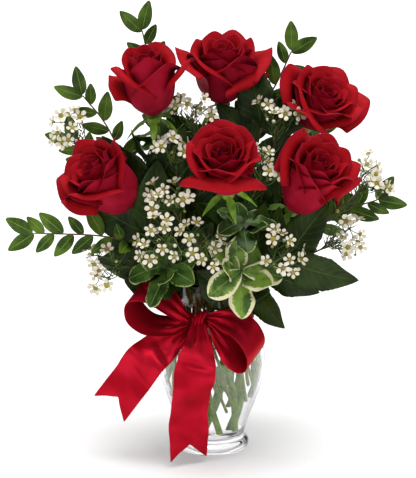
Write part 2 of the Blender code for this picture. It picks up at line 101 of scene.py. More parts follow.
class Finish:
    """A Principled material whose patterns are built node by node."""

    def __init__(self, name, **constants):
        self.material = bpy.data.materials.new(name)
        self.material.use_nodes = True
        self.tree = self.material.node_tree
        self.shader = self.tree.nodes["Principled BSDF"]
        for socket, value in constants.items():
            self.shader.inputs[socket.replace("_", " ")].default_value = value

    def node(self, kind, settings={}, inputs={}, output=0):
        """Adds a node: its settings first, then values or links for its sockets."""
        made = self.tree.nodes.new(kind)
        for setting, value in settings.items():
            if setting == "stops":
                while len(made.color_ramp.elements) < len(value):
                    made.color_ramp.elements.new(0.5)
                for stop, (place, colour) in zip(made.color_ramp.elements, value):
                    stop.position = place
                    stop.color = (*colour, 1)
            else:
                setattr(made, setting, value)
        for socket, value in inputs.items():
            target = made.inputs[socket]
            if isinstance(value, Value):
                self.tree.links.new(value.socket, target)
            elif target.type == "RGBA":
                target.default_value = (*value, 1)
            else:
                target.default_value = value
        return Value(self, made.outputs[output])

    def drive(self, **sockets):
        """Links values to the sockets of the shader itself."""
        for socket, value in sockets.items():
            self.tree.links.new(value.socket, self.shader.inputs[socket.replace("_", " ")])

    def place(self, output="Object"):
        return self.node("ShaderNodeTexCoord", output=output)

    def axis(self, place, letter):
        return self.node("ShaderNodeSeparateXYZ", {}, {0: place}, letter)

    def blade(self):
        """The place on a leaf or petal: 0 to 1 from middle to margin, and foot to tip."""
        place = self.place("UV")
        return place, abs(self.axis(place, "X") - 0.5) * 2.0, self.axis(place, "Y")

    def stretched(self, place, scale):
        return self.node("ShaderNodeMapping", {}, {"Vector": place, "Scale": scale})

    def noise(self, place, scale, detail=2.0):
        inputs = {"Vector": place, "Scale": scale, "Detail": detail}
        return self.node("ShaderNodeTexNoise", {}, inputs)

    def ramp(self, value, *stops):
        return self.node("ShaderNodeValToRGB", {"stops": stops}, {0: value})

    def window(self, value, low, high):
        """0 below low, 1 above high, and smooth between them."""
        settings = {"interpolation_type": "SMOOTHSTEP"}
        inputs = {"Value": value, "From Min": low, "From Max": high}
        return self.node("ShaderNodeMapRange", settings, inputs)

    def mix(self, share, colour, other):
        inputs = {0: share, 6: colour, 7: other}
        return self.node("ShaderNodeMix", {"data_type": "RGBA"}, inputs, 2)

    def bump(self, height, distance, strength=1.0):
        inputs = {"Strength": strength, "Distance": distance, "Height": height}
        self.drive(Normal=self.node("ShaderNodeBump", {}, inputs))

    def let_lamps_through(self):
        """Light reaches what is behind or inside a clear piece without a dark shadow."""
        ray = self.node("ShaderNodeLightPath", output="Is Shadow Ray")
        solid = Value(self, self.shader.outputs[0])
        clear = self.node("ShaderNodeBsdfTransparent")
        both = self.node("ShaderNodeMixShader", {}, {0: ray, 1: solid, 2: clear})
        self.tree.links.new(both.socket, self.tree.nodes["Material Output"].inputs["Surface"])


def smooth_line(points, per_span):
    """A smooth curve that passes through the points, as a list of points."""
    knots = [Vector(p) for p in points]
    knots = [2 * knots[0] - knots[1], *knots, 2 * knots[-1] - knots[-2]]
    line = []
    for a, b, c, d in zip(knots, knots[1:], knots[2:], knots[3:]):
        for i in range(per_span):
            t = i / per_span
            bend = (2 * a - 5 * b + 4 * c - d) * t**2 + (3 * b - a - 3 * c + d) * t**3
            line.append(0.5 * (2 * b + (c - a) * t + bend))
    return [*line, knots[-2]]


def turned(bm, start, line, end, steps=ROUND_STEPS):
    """Turns an outline round Z. It starts and ends on the axis, at a radius and height."""
    outline = [*start, *((p.x, p.z) for p in line), *end]
    corners = [bm.verts.new((radius, 0, height)) for radius, height in outline]
    edges = [bm.edges.new(pair) for pair in zip(corners, corners[1:])]
    bmesh.ops.spin(
        bm, geom=corners + edges, cent=(0, 0, 0), axis=(0, 0, 1),
        angle=math.tau, steps=steps, use_merge=True,
    )
    bmesh.ops.remove_doubles(bm, verts=bm.verts, dist=1e-6)
    bmesh.ops.recalc_face_normals(bm, faces=bm.faces)


def piece(name, bm, materials, slot, *replaced, sharp=60):
    """Ends a bmesh as a smooth-shaded piece that rides on the body and replaces CAD nodes."""
    mesh = bpy.data.meshes.new(name)
    bm.to_mesh(mesh)
    bm.free()
    mesh.shade_smooth()
    mesh.set_sharp_from_angle(angle=math.radians(sharp))
    for finish in materials:
        mesh.materials.append(finish.material)
    made = bpy.data.objects.new(name, mesh)
    bpy.context.scene.collection.objects.link(made)
    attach(made, "root")
    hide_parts(*replaced)
    return made


def inside_of_vase(top, inset=0.0):
    """The outline of the room inside the glass from its floor up to a height."""
    inside = [(r - WALL - inset, 0, z) for r, z in VASE_OUTLINE if FLOOR_Z + 0.005 < z < top]
    corner = (WAIST_R - WALL - FLOOR_FILLET - inset, 0, FLOOR_Z + 0.0012 + inset)
    flat = (corner[0] - 0.006, 0, FLOOR_Z + inset)
    return [flat, corner, *inside]


def make_vase():
    glass = Finish("vase_glass", Roughness=0.0, IOR=1.50, Transmission_Weight=1.0)
    # Painted shade: the base colour darkens where the wall is seen edge-on, standing in for dark
    # surroundings refracted at the edges.
    edge = glass.node("ShaderNodeLayerWeight", {}, {"Blend": 0.5}, "Facing")
    glass.drive(Base_Color=glass.mix(glass.window(edge, 0.56, 0.92), CLEAR_GLASS, PAINTED_EDGE_SHADE_OF_GLASS))
    glass.bump(glass.noise(glass.place(), 42.0, 1.0), 0.0006, 0.25)
    glass.let_lamps_through()
    rim_r, rim_z = VASE_OUTLINE[-1]
    lip = [(rim_r - WALL * inwards, 0, rim_z + WALL * up) for inwards, up in LIP]
    outside = [(r, 0, z) for r, z in VASE_OUTLINE]
    inside = inside_of_vase(rim_z - 0.0005)[::-1]
    line = smooth_line([*outside, *lip, *inside], 4)
    bm = bmesh.new()
    turned(bm, UNDERSIDE, line, [(0, FLOOR_Z)])
    piece("vase_glass", bm, [glass], "clear_glass", "glass_vase")


make_vase()


# ------------------------ the water
# Clean water up to just below the neck. Its surface climbs a little where it meets the glass,
# and a hair's breadth is kept free between the two.
WATER_Z = 0.104
WATER_GAP = 0.00015


def make_water():
    clear = Finish(
        "water", Base_Color=(0.97, 0.985, 0.98, 1), Roughness=0.0, IOR=1.333,
        Transmission_Weight=1.0,
    )
    clear.bump(clear.noise(clear.place(), 30.0, 0.0), 0.0003, 0.15)
    clear.let_lamps_through()
    line = smooth_line(inside_of_vase(WATER_Z + 0.004, WATER_GAP), 4)
    line = [p for p in line if p.z < WATER_Z + 0.0008]
    edge = line[-1].x
    meniscus = [(edge - 0.0012, WATER_Z + 0.0002), (edge - 0.0030, WATER_Z), (0, WATER_Z)]
    bm = bmesh.new()
    turned(bm, [(0, FLOOR_Z + WATER_GAP)], line, meniscus)
    piece("clear_water", bm, [clear], "water", "water")


make_water()


# ------------------------ the rose stems
# Six thick green stems, stripped of leaves where they stand in the water.
# They turn round each other between the neck and the floor, as a hand-tied bunch does. Above
# the vase each carries compound leaves and a few prickles.
MOUTH_Z = 0.157
BUNDLE_TURN = 95  # degrees
BUNDLE_SWELL = 0.38
GOLDEN_ANGLE = 137.5  # degrees, from one leaf or petal to the next round a stem
THORN_ANGLE = 137  # the same for prickles and needles
ROSE_STEM_R = 0.0026
LEAF_STALK_R = 0.0007
ROSE_NECK_R = 0.0140
HIP_LENGTH = 0.011
HIP_GAP = 0.0004
LEAVES_PER_CANE = 5
LEAF_STEP = 0.075  # of the cane's length, from one leaf to the next
BROAD_LEAF = (0.80, 0.80)  # its outline
PRICKLES = 5
PRICKLE_LENGTH = 0.0036
LEAFLETS = ((0, 0.036), (64, 0.028), (-64, 0.028))  # turn in degrees and length of each
# Each rose: the middle of its head, the way it faces, its place in the neck (azimuth), and the
# width and height of its head.
ROSES = {
    1: ((-0.055, -0.020, 0.337), (-0.12, -0.28, 0.95), 240, 0.058, 0.066),
    2: ((0.010, 0.030, 0.338), (0.02, -0.26, 0.96), 180, 0.084, 0.062),
    3: ((-0.092, -0.045, 0.253), (-0.60, -0.44, 0.67), 300, 0.080, 0.067),
    4: ((0.095, 0.010, 0.312), (0.38, -0.54, 0.75), 115, 0.078, 0.052),
    5: ((0.010, -0.085, 0.275), (-0.10, -0.58, 0.81), 0, 0.080, 0.058),
    6: ((0.085, -0.055, 0.257), (0.38, -0.54, 0.75), 60, 0.080, 0.074),
}


def around(azimuth, radius, height):
    """The point at that azimuth (0 is the front, 90 the right), distance and height."""
    turn = math.radians(azimuth)
    return Vector((radius * math.sin(turn), -radius * math.cos(turn), height))


def in_vase(azimuth, neck_radius, height):
    """Where a stem is at a height below the neck."""
    depth = (NECK_Z - height) / NECK_Z
    swell = 1 + BUNDLE_SWELL * math.sin(math.pi * depth)
    return around(azimuth + BUNDLE_TURN * depth, neck_radius * swell, height)


def add_stalks(bm, lines, radius, sides, taper=1.0, finish=0):
    """Adds closed tubes along the lines. Each narrows to taper times its radius."""
    curve = bpy.data.curves.new("stalk", "CURVE")
    curve.dimensions = "3D"
    curve.bevel_depth = radius
    curve.bevel_resolution = (sides - 4) // 2
    curve.use_fill_caps = True
    for line in lines:
        spline = curve.splines.new("POLY")
        spline.points.add(len(line) - 1)
        for i, (point, place) in enumerate(zip(spline.points, line)):
            point.co = (*place, 1)
            point.radius = 1 + (taper - 1) * i / (len(line) - 1)
    guide = bpy.data.objects.new("stalk", curve)
    mesh = bpy.data.meshes.new_from_object(guide)
    bpy.data.objects.remove(guide)
    for face in mesh.polygons:
        face.material_index = finish
    known = len(bm.verts)
    bm.from_mesh(mesh)
    bpy.data.meshes.remove(mesh)
    bm.verts.ensure_lookup_table()
    bmesh.ops.remove_doubles(bm, verts=bm.verts[known:], dist=1e-6)


def in_water(finish):
    """1 where a stem stands in the water, and 0 above the neck."""
    return finish.window(finish.axis(finish.place(), "Z"), 0.150, 0.090)


def stem_green():
    green = Finish("rose_stem_green", Roughness=0.42, Specular_IOR_Level=0.4)
    place = green.place()
    blotches = green.noise(place, 140.0, 3.0)
    streaks = green.noise(green.stretched(place, (1.0, 1.0, 0.12)), 900.0, 2.0)
    colour = green.ramp(
        blotches, (0.30, (0.070, 0.180, 0.010)), (0.55, (0.150, 0.300, 0.018)),
        (0.75, (0.270, 0.390, 0.050)),
    )
    wet = green.mix(green.window(blotches, 0.35, 0.70), (0.15, 0.36, 0.004), (0.38, 0.58, 0.020))
    colour = green.mix(in_water(green) * 0.8, colour, wet)
    colour = green.mix(green.window(streaks, 0.52, 0.70) * 0.5, colour, (0.05, 0.11, 0.012))
    green.drive(Base_Color=colour)
    green.bump(streaks + blotches * 0.5, 0.0003, 0.5)
    return green


def pointing(place, way):
    """The move that takes a thing from the origin to a place, its own Z along a direction."""
    return Matrix.Translation(place) @ way.to_track_quat("Z", "Y").to_matrix().to_4x4()


def rose_frame(number):
    """Where a rose's head begins, and the way that it faces."""
    middle, facing, _, _, height = ROSES[number]
    up = Vector(facing).normalized()
    return Vector(middle) - up * height / 2, up


def blade_vertices(bm, columns, rows):
    """A flat grid for a leaf or a petal: its vertices with their share across and along it."""
    made = bmesh.ops.create_grid(bm, x_segments=columns, y_segments=rows, size=0.5, calc_uvs=True)
    return [(vert, 2 * vert.co.x, vert.co.y + 0.5) for vert in made["verts"]]


def pointed(share, belly, blunt):
    """A leaf's half width as a share of its widest, from its foot to its pointed tip.

    It is widest nearer the foot where belly is small, and finer at the tip where blunt is large.
    """
    return max(math.sin(math.pi * min(share, 1.0) ** belly), 0.0) ** blunt


def add_leaf(
    bm, base, way, face, length, width, outline, columns, rows,
    fold, droop, waves=0.0, phase=0.0, teeth=0, twist=0.0,
):
    """Adds a leaf with its UV map. Its outline is the belly and blunt of pointed.

    The two halves rise from the middle rib by fold, the tip sinks by droop and turns by twist,
    the margin goes up and down by waves, and teeth cut into it.
    """
    side = way.cross(face).normalized()
    up = side.cross(way).normalized()
    grown = blade_vertices(bm, columns, rows)
    for vert, across, along in grown:
        half = width / 2 * pointed(along, *outline)
        if teeth:
            half *= 1 - 0.055 * abs(across) * (1 - (along * teeth) % 1.0)
        turn = twist * along
        rise = fold * abs(across) * half * (1 - 0.3 * abs(across))
        rise += waves * abs(across) ** 2 * half * math.sin(15 * along + phase + 1.3 * across)
        rise -= droop * length * along * along
        out = side * math.cos(turn) + up * math.sin(turn)
        over = up * math.cos(turn) - side * math.sin(turn)
        vert.co = base + way * (length * along) + out * (across * half) + over * rise
    ends = [vert for vert, _, along in grown if along < 0.01 or along > 0.99]
    bmesh.ops.remove_doubles(bm, verts=ends, dist=0.00025)


def join(bm, other):
    """Adds the mesh of another bmesh."""
    mesh = bpy.data.meshes.new("part")
    other.to_mesh(mesh)
    other.free()
    bm.from_mesh(mesh)
    bpy.data.meshes.remove(mesh)


def along(line, share):
    """The point at that share of the line's length, and the line's direction there."""
    lengths = [(b - a).length for a, b in zip(line, line[1:])]
    left = share * sum(lengths)
    for (a, b), length in zip(zip(line, line[1:]), lengths):
        if left <= length + 1e-6:
            break
        left -= length
    direction = (b - a).normalized()
    return a + direction * min(left, length), direction


def leaf_green(name, dark, fresh, rib, gloss, rib_width):
    """A leaf's upper and lower skin: a pale rib, side veins, and a slow change of green."""
    skin = Finish(name, Specular_IOR_Level=0.16)
    _, across, up = skin.blade()
    ribs = 1 - skin.window(across, rib_width * 0.4, rib_width * 1.6)
    slant = up * 9.0 - across * 2.2
    veins = 1 - skin.window(abs(slant.maths("FRACT", slant) - 0.5), 0.03, 0.14)
    clouds = skin.noise(skin.place(), 55.0, 2.0)
    grain = skin.noise(skin.place(), 700.0, 2.0)
    colour = skin.mix(skin.window(clouds, 0.35, 0.68), dark, fresh)
    colour = skin.mix(veins * 0.22, colour, rib)
    colour = skin.mix(ribs * 0.8, colour, rib)
    skin.drive(Base_Color=colour, Roughness=gloss + grain * 0.15)
    skin.bump(ribs * -0.8 + veins * -0.45 + grain * 0.15, 0.0005, 0.6)
    return skin


def start_blades():
    """An empty bmesh with a UV map, for leaves, petals and ribbon."""
    bm = bmesh.new()
    bm.loops.layers.uv.new("UVMap")
    return bm


def join_leaves(bm, leaves, thickness):
    """Gives leaves their thickness and the second finish, and joins them to their stem."""
    bmesh.ops.solidify(leaves, geom=leaves.faces, thickness=thickness)
    for face in leaves.faces:
        face.material_index = 1
    join(bm, leaves)


def add_rose_leaves(leaves, line, number):
    """Adds leaves of three toothed leaflets along a cane. Gives the lines of their stalks."""
    stalks = []
    for i in range(LEAVES_PER_CANE):
        at, ahead = along(line, 0.54 + LEAF_STEP * i)
        out = around(GOLDEN_ANGLE * i + 75 * number, 1, 0)
        way = (out * 0.60 + ahead * 0.75).normalized()
        face = (out * 0.75 - ahead * 0.50).normalized()
        end = at + way * 0.012
        stalks.append([at, end])
        for turn, length in LEAFLETS:
            leaf_way = Matrix.Rotation(math.radians(turn), 3, face) @ way
            base = end - way * (0.004 if turn else 0.0)
            add_leaf(
                leaves, base, leaf_way, face, length, length * 0.60, BROAD_LEAF,
                columns=6, rows=28, teeth=14,
                fold=0.20, droop=0.12 + 0.04 * i, waves=0.08, phase=i + turn,
            )
    return stalks


ROSE_GREEN = stem_green()
ROSE_LEAF = leaf_green(
    "rose_leaf", dark=(0.008, 0.022, 0.003), fresh=(0.030, 0.064, 0.008),
    rib=(0.065, 0.110, 0.022), gloss=0.38, rib_width=0.025,
)
for number, (_, _, slot, _, _) in ROSES.items():
    head, up = rose_frame(number)
    base = head - up * (HIP_LENGTH + HIP_GAP)
    inside = [in_vase(slot, ROSE_NECK_R, height) for height in (0.0175, 0.060, NECK_Z)]
    mouth = around(slot, ROSE_NECK_R + 0.0045, MOUTH_Z)
    line = smooth_line([*inside, mouth, base - up * 0.034, base - up * 0.010, base], 7)
    leaves = start_blades()
    stalks = add_rose_leaves(leaves, line, number)
    bm = start_blades()
    add_stalks(bm, [line], ROSE_STEM_R, sides=12)
    add_stalks(bm, stalks, LEAF_STALK_R, sides=6)
    join_leaves(bm, leaves, thickness=0.0004)
    for i in range(PRICKLES):
        at, ahead = along(line, 0.56 + LEAF_STEP * i)
        out = ahead.cross(around(THORN_ANGLE * i + 40 * number, 1, 0.3)).normalized()
        bmesh.ops.create_cone(
            bm, cap_ends=True, segments=6, radius1=0.0013, radius2=0.0001, depth=PRICKLE_LENGTH,
            matrix=pointing(at + out * 0.0035, out - ahead * 0.35),
        )
    name = f"rose_{number}"
    piece(name + "_cane", bm, [ROSE_GREEN, ROSE_LEAF], "rose_green", name + "_stem", sharp=50)


# ------------------------ the rose hips
# Under each head the stem swells into a smooth hip with five green sepals, which have folded
# back. Each sepal is a narrow pointed blade with a raised middle.
HIP_OUTLINE = [
    (0.0030, 0, -0.0113), (0.0036, 0, -0.0100), (0.0058, 0, -0.0075), (0.0064, 0, -0.0045),
    (0.0060, 0, -0.0022), (0.0078, 0, -0.0004),
]
SEPALS = 5
SEPAL_LENGTH = 0.027
SEPAL_WIDTH = 0.0072
SEPAL_OUTLINE = (0.62, 1.15)


def rounded(made):
    """Rounds a piece with one level of subdivision."""
    smooth = made.modifiers.new("Smooth", "SUBSURF")
    smooth.levels = 1
    smooth.render_levels = 1


def make_hip(number):
    bm = start_blades()
    line = smooth_line(HIP_OUTLINE, 3)
    turned(bm, [(0, line[0].z)], line, [(0, -0.0003)], steps=20)
    for i in range(SEPALS):
        out = around(360 / SEPALS * i + 20, 1, 0)
        down = (out + Vector((0, 0, -0.35 - 0.2 * (i % 2)))).normalized()
        blade = start_blades()
        base = out * 0.0050 + Vector((0, 0, -0.0028))
        add_leaf(
            blade, base, down, Vector((0, 0, 1)), SEPAL_LENGTH, SEPAL_WIDTH, SEPAL_OUTLINE,
            columns=4, rows=7, fold=0.5, droop=0.20 + 0.06 * (i % 3), twist=0.3 * (i % 2),
        )
        bmesh.ops.recalc_face_normals(blade, faces=blade.faces)
        bmesh.ops.solidify(blade, geom=blade.faces, thickness=0.0005)
        join(bm, blade)
    bmesh.ops.transform(bm, matrix=pointing(*rose_frame(number)), verts=bm.verts)
    rounded(piece(f"rose_{number}_hip", bm, [ROSE_GREEN], "rose_green", f"rose_{number}_calyx"))


for number in ROSES:
    make_hip(number)


# ------------------------ the rose petals
# Each head is twenty to thirty soft petals set in a spiral, small and tightly furled in the
# heart, wide and open outside. A petal's rim rolls back at its shoulders and leaves a point.
PETAL_THICKNESS = 0.0005
PETAL_COLUMNS = 12
PETAL_ROWS = 12
PROFILE_STEPS = 16
HEART_R = 0.0016  # of the middle of the head, where the petals are joined
# How a petal stands at each age, from the heart (0) to the outside (1): its slope above the
# horizontal in degrees at its foot, belly and rim, how far its rim rolls back, its length as a
# share of the head's height, half of the angle that it wraps round the heart, the share of its
# length where the roll begins, how flat it is across, and how far its shoulders fall.
AGES = [
    (0.00, (84, 91, 99, 10, 0.86, 130, 0.80, 0.00, 0.20)),
    (0.15, (78, 91, 98, 20, 0.92, 115, 0.80, 0.05, 0.22)),
    (0.30, (66, 91, 96, 34, 0.98, 102, 0.80, 0.12, 0.26)),
    (0.60, (46, 91, 91, 64, 1.05, 86, 0.79, 0.30, 0.34)),
    (0.85, (32, 89, 86, 125, 1.10, 76, 0.80, 0.42, 0.38)),
    (1.00, (24, 86, 80, 180, 1.09, 70, 0.80, 0.48, 0.38)),
]


def at_age(age):
    """A petal's stance at an age, between the two nearest rows of the table."""
    for (low, before), (high, after) in zip(AGES, AGES[1:]):
        if age <= high:
            t = (age - low) / (high - low)
            return [a + (b - a) * t for a, b in zip(before, after)]
    return list(AGES[-1][1])


def eased(value, low, high):
    """0 below low, 1 above high, and smooth between them."""
    t = min(max((value - low) / (high - low), 0.0), 1.0)
    return t * t * (3 - 2 * t)


def petal_profile(share, reach, stance, roll, start):
    """Radius and height at a share of the way up a petal of that reach."""
    foot, belly, rim = stance
    radius, height = HEART_R, 0.0
    step = reach * share / PROFILE_STEPS
    for i in range(PROFILE_STEPS):
        s = share * (i + 0.5) / PROFILE_STEPS
        slope = foot + (belly - foot) * eased(s, 0, 0.5) + (rim - belly) * eased(s, 0.45, 0.85)
        slope -= roll * (max(s - start, 0) / (1 - start)) ** (1.0 if roll > 200 else 1.4)
        radius += step * math.cos(math.radians(slope))
        height += step * math.sin(math.radians(slope))
    return radius, height


def grow_petal(bm, ages, age, turn, scale, stance, seed):
    """Adds one petal. The stance is a row of AGES, and the seed makes its waves its own."""
    foot, belly, rim, roll, length, wrap, start, flat, drop = stance
    tip = eased(age, 0.25, 0.7)
    spiral = 0.16 - 0.09 * age
    # A strongly rolled rim rolls evenly, and a weakly rolled one mostly at its shoulders.
    even = 0.30 + 0.70 * eased(roll, 150, 330)
    ripple = 0.012 * scale * (0.3 + age)
    for vert, across, up in blade_vertices(bm, PETAL_COLUMNS, PETAL_ROWS):
        shoulder = abs(across)
        point = 0.06 * tip * math.exp(-((across / 0.16) ** 2))
        reach = scale * length * (1 - drop * shoulder**2 + point)
        reach *= 1 + 0.018 * math.sin(5.1 * across + seed)
        roll_here = roll * (even + (1 - even) * min(shoulder / 0.5, 1))
        roll_here *= 1 + 0.15 * math.sin(seed * 2.3)
        radius, height = petal_profile(up, reach, (foot, belly, rim), roll_here, start)
        radius *= 1 + spiral * across * up
        radius += scale * 0.050 * tip * max(shoulder - 0.70, 0) ** 2 / 0.09 * up * up
        radius += ripple * math.sin(3.7 * across + 2.9 * seed) * up * up
        height += ripple * math.sin(4.3 * across + 1.7 * seed) * up**3
        offset = across * wrap * (0.30 + 0.70 * math.sin(math.pi / 2 * min(up / 0.70, 1)))
        radius /= math.cos(math.radians(offset) * flat)
        vert.co = around(turn + offset, radius, height)
        vert[ages] = age


def petal_finish(name, heart_shade, vein_and_foot_shade, full, dew):
    """Velvety petal colour with painted shade: darker towards its foot and in the heart of the
    head, where the head shades itself. Its rims take the same darker colour, and its veins are
    darker too.
    """
    velvet = Finish(
        name, Specular_IOR_Level=0.04, Sheen_Weight=0.03, Sheen_Roughness=0.40,
        Sheen_Tint=(1.0, 0.20, 0.28, 1),
    )
    blade, across, up = velvet.blade()
    age = velvet.node("ShaderNodeAttribute", {"attribute_name": "age"}, {}, "Fac")
    veins = velvet.noise(velvet.stretched(blade, (42.0, 1.6, 1.0)), 1.0, 3.0)
    clouds = velvet.noise(velvet.place(), 60.0, 2.0)
    # Painted shade: each petal darkens from its rim down to its foot.
    colour = velvet.mix(velvet.window(up, 0.15, 0.95), vein_and_foot_shade, full)
    # Painted shade: the inner petals, in the heart of the head, take the darker heart colour.
    colour = velvet.mix((1 - velvet.window(age, 0.0, 0.45)) * 0.75, colour, heart_shade)
    colour = velvet.mix(velvet.window(veins, 0.45, 0.75) * 0.28, colour, vein_and_foot_shade)
    colour = velvet.mix(velvet.window(clouds, 0.42, 0.70) * 0.40, colour, dew)
    rims = velvet.window(up, 0.93, 1.0) + velvet.window(across, 0.86, 1.0)
    colour = velvet.mix(rims * 0.30, colour, heart_shade)
    velvet.drive(Base_Color=colour, Roughness=0.50 + clouds * 0.15)
    velvet.bump(veins, 0.0005, 0.35)
    return velvet


# For each side: the painted shade of the heart, the vein colour that is also the painted shade at
# a petal's foot, the full colour and a paler drift.
PETAL_BACK = petal_finish(
    "petal_back", heart_shade=(0.10, 0.002, 0.012), vein_and_foot_shade=(0.20, 0.003, 0.014),
    full=(0.33, 0.005, 0.020), dew=(0.37, 0.011, 0.034),
)
PETAL_FACE = petal_finish(
    "petal_face", heart_shade=(0.11, 0.002, 0.010), vein_and_foot_shade=(0.17, 0.002, 0.007),
    full=(0.35, 0.005, 0.009), dew=(0.40, 0.009, 0.014),
)
# Each head: how many petals, how open it is (1 is full blown), where its outermost petal sits,
# the share of its width that the furled petals take, and loose outer petals as a turn and the
# stance of each.
HEADS = {
    1: (16, 0.58, 30, 0.76, [
        (308, (38, 87, 91, 230, 0.99, 94, 0.81, 0.08, 0.46)),
        (66, (37, 87, 90, 190, 1.00, 94, 0.80, 0.08, 0.46)),
        (185, (38, 86, 92, 120, 1.00, 90, 0.76, 0.20, 0.40)),
        (282, (34, 76, 58, 60, 0.76, 40, 0.80, 0.30, 0.30)),
        (100, (36, 84, 62, 100, 1.00, 40, 0.80, 0.30, 0.30)),
    ]),
    2: (28, 0.95, 300, 0.88, [
        (280, (30, 82, 62, 120, 1.14, 50, 0.82, 0.60, 0.20)),
        (350, (34, 88, 84, 50, 0.98, 62, 0.86, 0.75, 0.14)),
        (50, (32, 84, 66, 250, 1.00, 52, 0.62, 0.85, 0.20)),
        (95, (30, 80, 64, 130, 1.06, 52, 0.74, 0.60, 0.26)),
    ]),
    3: (28, 0.92, 150, 0.92, [
        (58, (22, 90, 92, 90, 1.07, 98, 0.84, 0.12, 0.30)),
        (300, (30, 82, 68, 80, 1.02, 46, 0.82, 0.50, 0.34)),
        (350, (30, 86, 78, 170, 1.02, 44, 0.72, 0.50, 0.22)),
    ]),
    4: (30, 1.0, 40, 0.94, [
        (70, (28, 76, 60, 120, 1.04, 50, 0.78, 0.60, 0.36)),
        (215, (28, 78, 62, 120, 1.04, 50, 0.78, 0.60, 0.36)),
        (300, (28, 78, 62, 110, 1.02, 48, 0.78, 0.60, 0.36)),
    ]),
    5: (30, 0.92, 190, 0.92, [(2, (42, 90, 84, 330, 1.24, 54, 0.60, 0.80, 0.06))]),
    6: (28, 0.92, 200, 0.92, [
        (332, (21, 90, 92, 90, 1.07, 96, 0.84, 0.12, 0.30)),
        (66, (32, 86, 80, 230, 1.02, 38, 0.68, 0.60, 0.20)),
        (190, (30, 84, 80, 120, 1.06, 60, 0.78, 0.50, 0.30)),
    ]),
}


def thicken(made, thickness, offset=-1.0, back_material=0):
    """Gives sheets of petal or ribbon their thickness and rounds them."""
    wall = made.modifiers.new("Thickness", "SOLIDIFY")
    wall.thickness = thickness
    wall.offset = offset
    wall.material_offset = back_material
    rounded(made)


def make_petals(number):
    _, _, _, width, height = ROSES[number]
    count, openness, lead, furled, loose = HEADS[number]
    bm = start_blades()
    ages = bm.verts.layers.float.new("age")
    for k in range(count):
        age = openness * k / (count - 1)
        place = lead - GOLDEN_ANGLE * (count - 1 - k)
        grow_petal(bm, ages, age, place, height, at_age(age), number + 1.7 * k)
    reach = max(vert.co.xy.length for vert in bm.verts)
    top = max(vert.co.z for vert in bm.verts)
    for i, (place, stance) in enumerate(loose):
        grow_petal(bm, ages, 1.0, place, height, stance, number + 0.9 * i)
    spread = width * furled / 2 / reach
    fit = Matrix.Diagonal((spread, spread, height / top, 1))
    bmesh.ops.transform(bm, matrix=pointing(*rose_frame(number)) @ fit, verts=bm.verts)
    name = f"rose_{number}"
    finishes = [PETAL_BACK, PETAL_FACE]
    made = piece(name + "_petals", bm, finishes, "rose_petals", name + "_bloom", sharp=180)
    thicken(made, PETAL_THICKNESS, back_material=1)


for number in ROSES:
    make_petals(number)


# ------------------------ the huckleberry sprigs
# Thin reddish twigs with small glossy oval leaves that alternate from side to side, a pale rib
# down each. The twigs stand among the rose stems and lean out past the flowers.
OVAL_LEAF = (0.86, 0.90)  # its outline
TIP_ANGLE = 26  # degrees, between a stem's end and its last leaf
# Each sprig, here and below: its place in the neck (azimuth and radius in mm), and the points
# above the vase that its stem goes through, in mm, the last one its tip.
HUCKLEBERRY = {
    1: ((212, 12.5), [(-40, 30, 270), (-55, 34, 342), (-62, 34, 374)]),
    2: ((262, 24), [(-70, 12, 240), (-92, 12, 290), (-114, 8, 320)]),
    3: ((285, 24.5), [(-50, -24, 186), (-92, -46, 205), (-155, -46, 208)]),
    4: ((148, 12.5), [(30, 44, 270), (58, 46, 325), (71, 44, 354)]),
    5: ((88, 24.5), [(60, 8, 184), (112, -10, 218), (145, -20, 232)]),
    6: ((238, 24.5), [(-60, 48, 190), (-98, 62, 240), (-126, 60, 268)]),
    7: ((128, 24.5), [(50, 56, 196), (90, 80, 252), (104, 88, 292)]),
}


def in_metres(points):
    return [[value / 1000 for value in point] for point in points]


def sprig_line(slot, points, number):
    """A sprig's stem, from its cut end in the water, through the neck, to its tip."""
    azimuth, radius = slot[0], slot[1] / 1000
    depth = 0.040 + 0.007 * (number % 4)  # they aren't all cut to one length
    inside = [in_vase(azimuth, radius, height) for height in (depth, 0.085, NECK_Z)]
    mouth = around(azimuth, radius + 0.0065, MOUTH_Z)
    return smooth_line([*inside, mouth, *in_metres(points)], 6)


def leaf_places(line, count, first, angle, length):
    """Places for alternate leaves from a share of the stem to its tip, and one at the tip."""
    # They face outwards from the bouquet, and a little up.
    back = 1 if line[-1].y > 0.040 else -1
    face = Vector((0.4 * line[-1].x, 0.10 * back, 0.03)).normalized()
    for i in range(count):
        last = i == count - 1
        share = 1.0 if last else first + (0.995 - first) * i / (count - 2)
        point, way = along(line, share)
        normal = (face - way * face.dot(way)).normalized()
        roll = 1.4 * math.sin(2.4 * i + count) * (1 - eased(share, 0.60, 0.85))
        normal = Matrix.Rotation(roll, 3, way) @ normal
        side = way.cross(normal) * (1 if i % 2 else -1)
        opening = angle * (1 - 0.35 * (i / count) ** 4) + 6 * math.sin(2.4 * i)
        turn = math.radians(TIP_ANGLE if last else opening)
        leaf_way = (way * math.cos(turn) + side * math.sin(turn) + normal * 0.12).normalized()
        size = length * (0.86 + 0.14 * math.cos(1.7 * i))
        yield point - leaf_way * 0.0006, leaf_way, normal, size


def bark():
    """The skin of a thin twig, brown above the vase and greener in the water."""
    skin = Finish("twig_bark", Roughness=0.6)
    marks = skin.noise(skin.place(), 260.0, 3.0)
    spots = skin.window(marks, 0.35, 0.7)
    dry = skin.mix(spots, (0.13, 0.070, 0.025), (0.060, 0.022, 0.010))
    wet = skin.mix(spots, (0.30, 0.42, 0.040), (0.16, 0.26, 0.020))
    skin.drive(Base_Color=skin.mix(in_water(skin), dry, wet))
    skin.bump(marks, 0.0003, 0.5)
    return skin


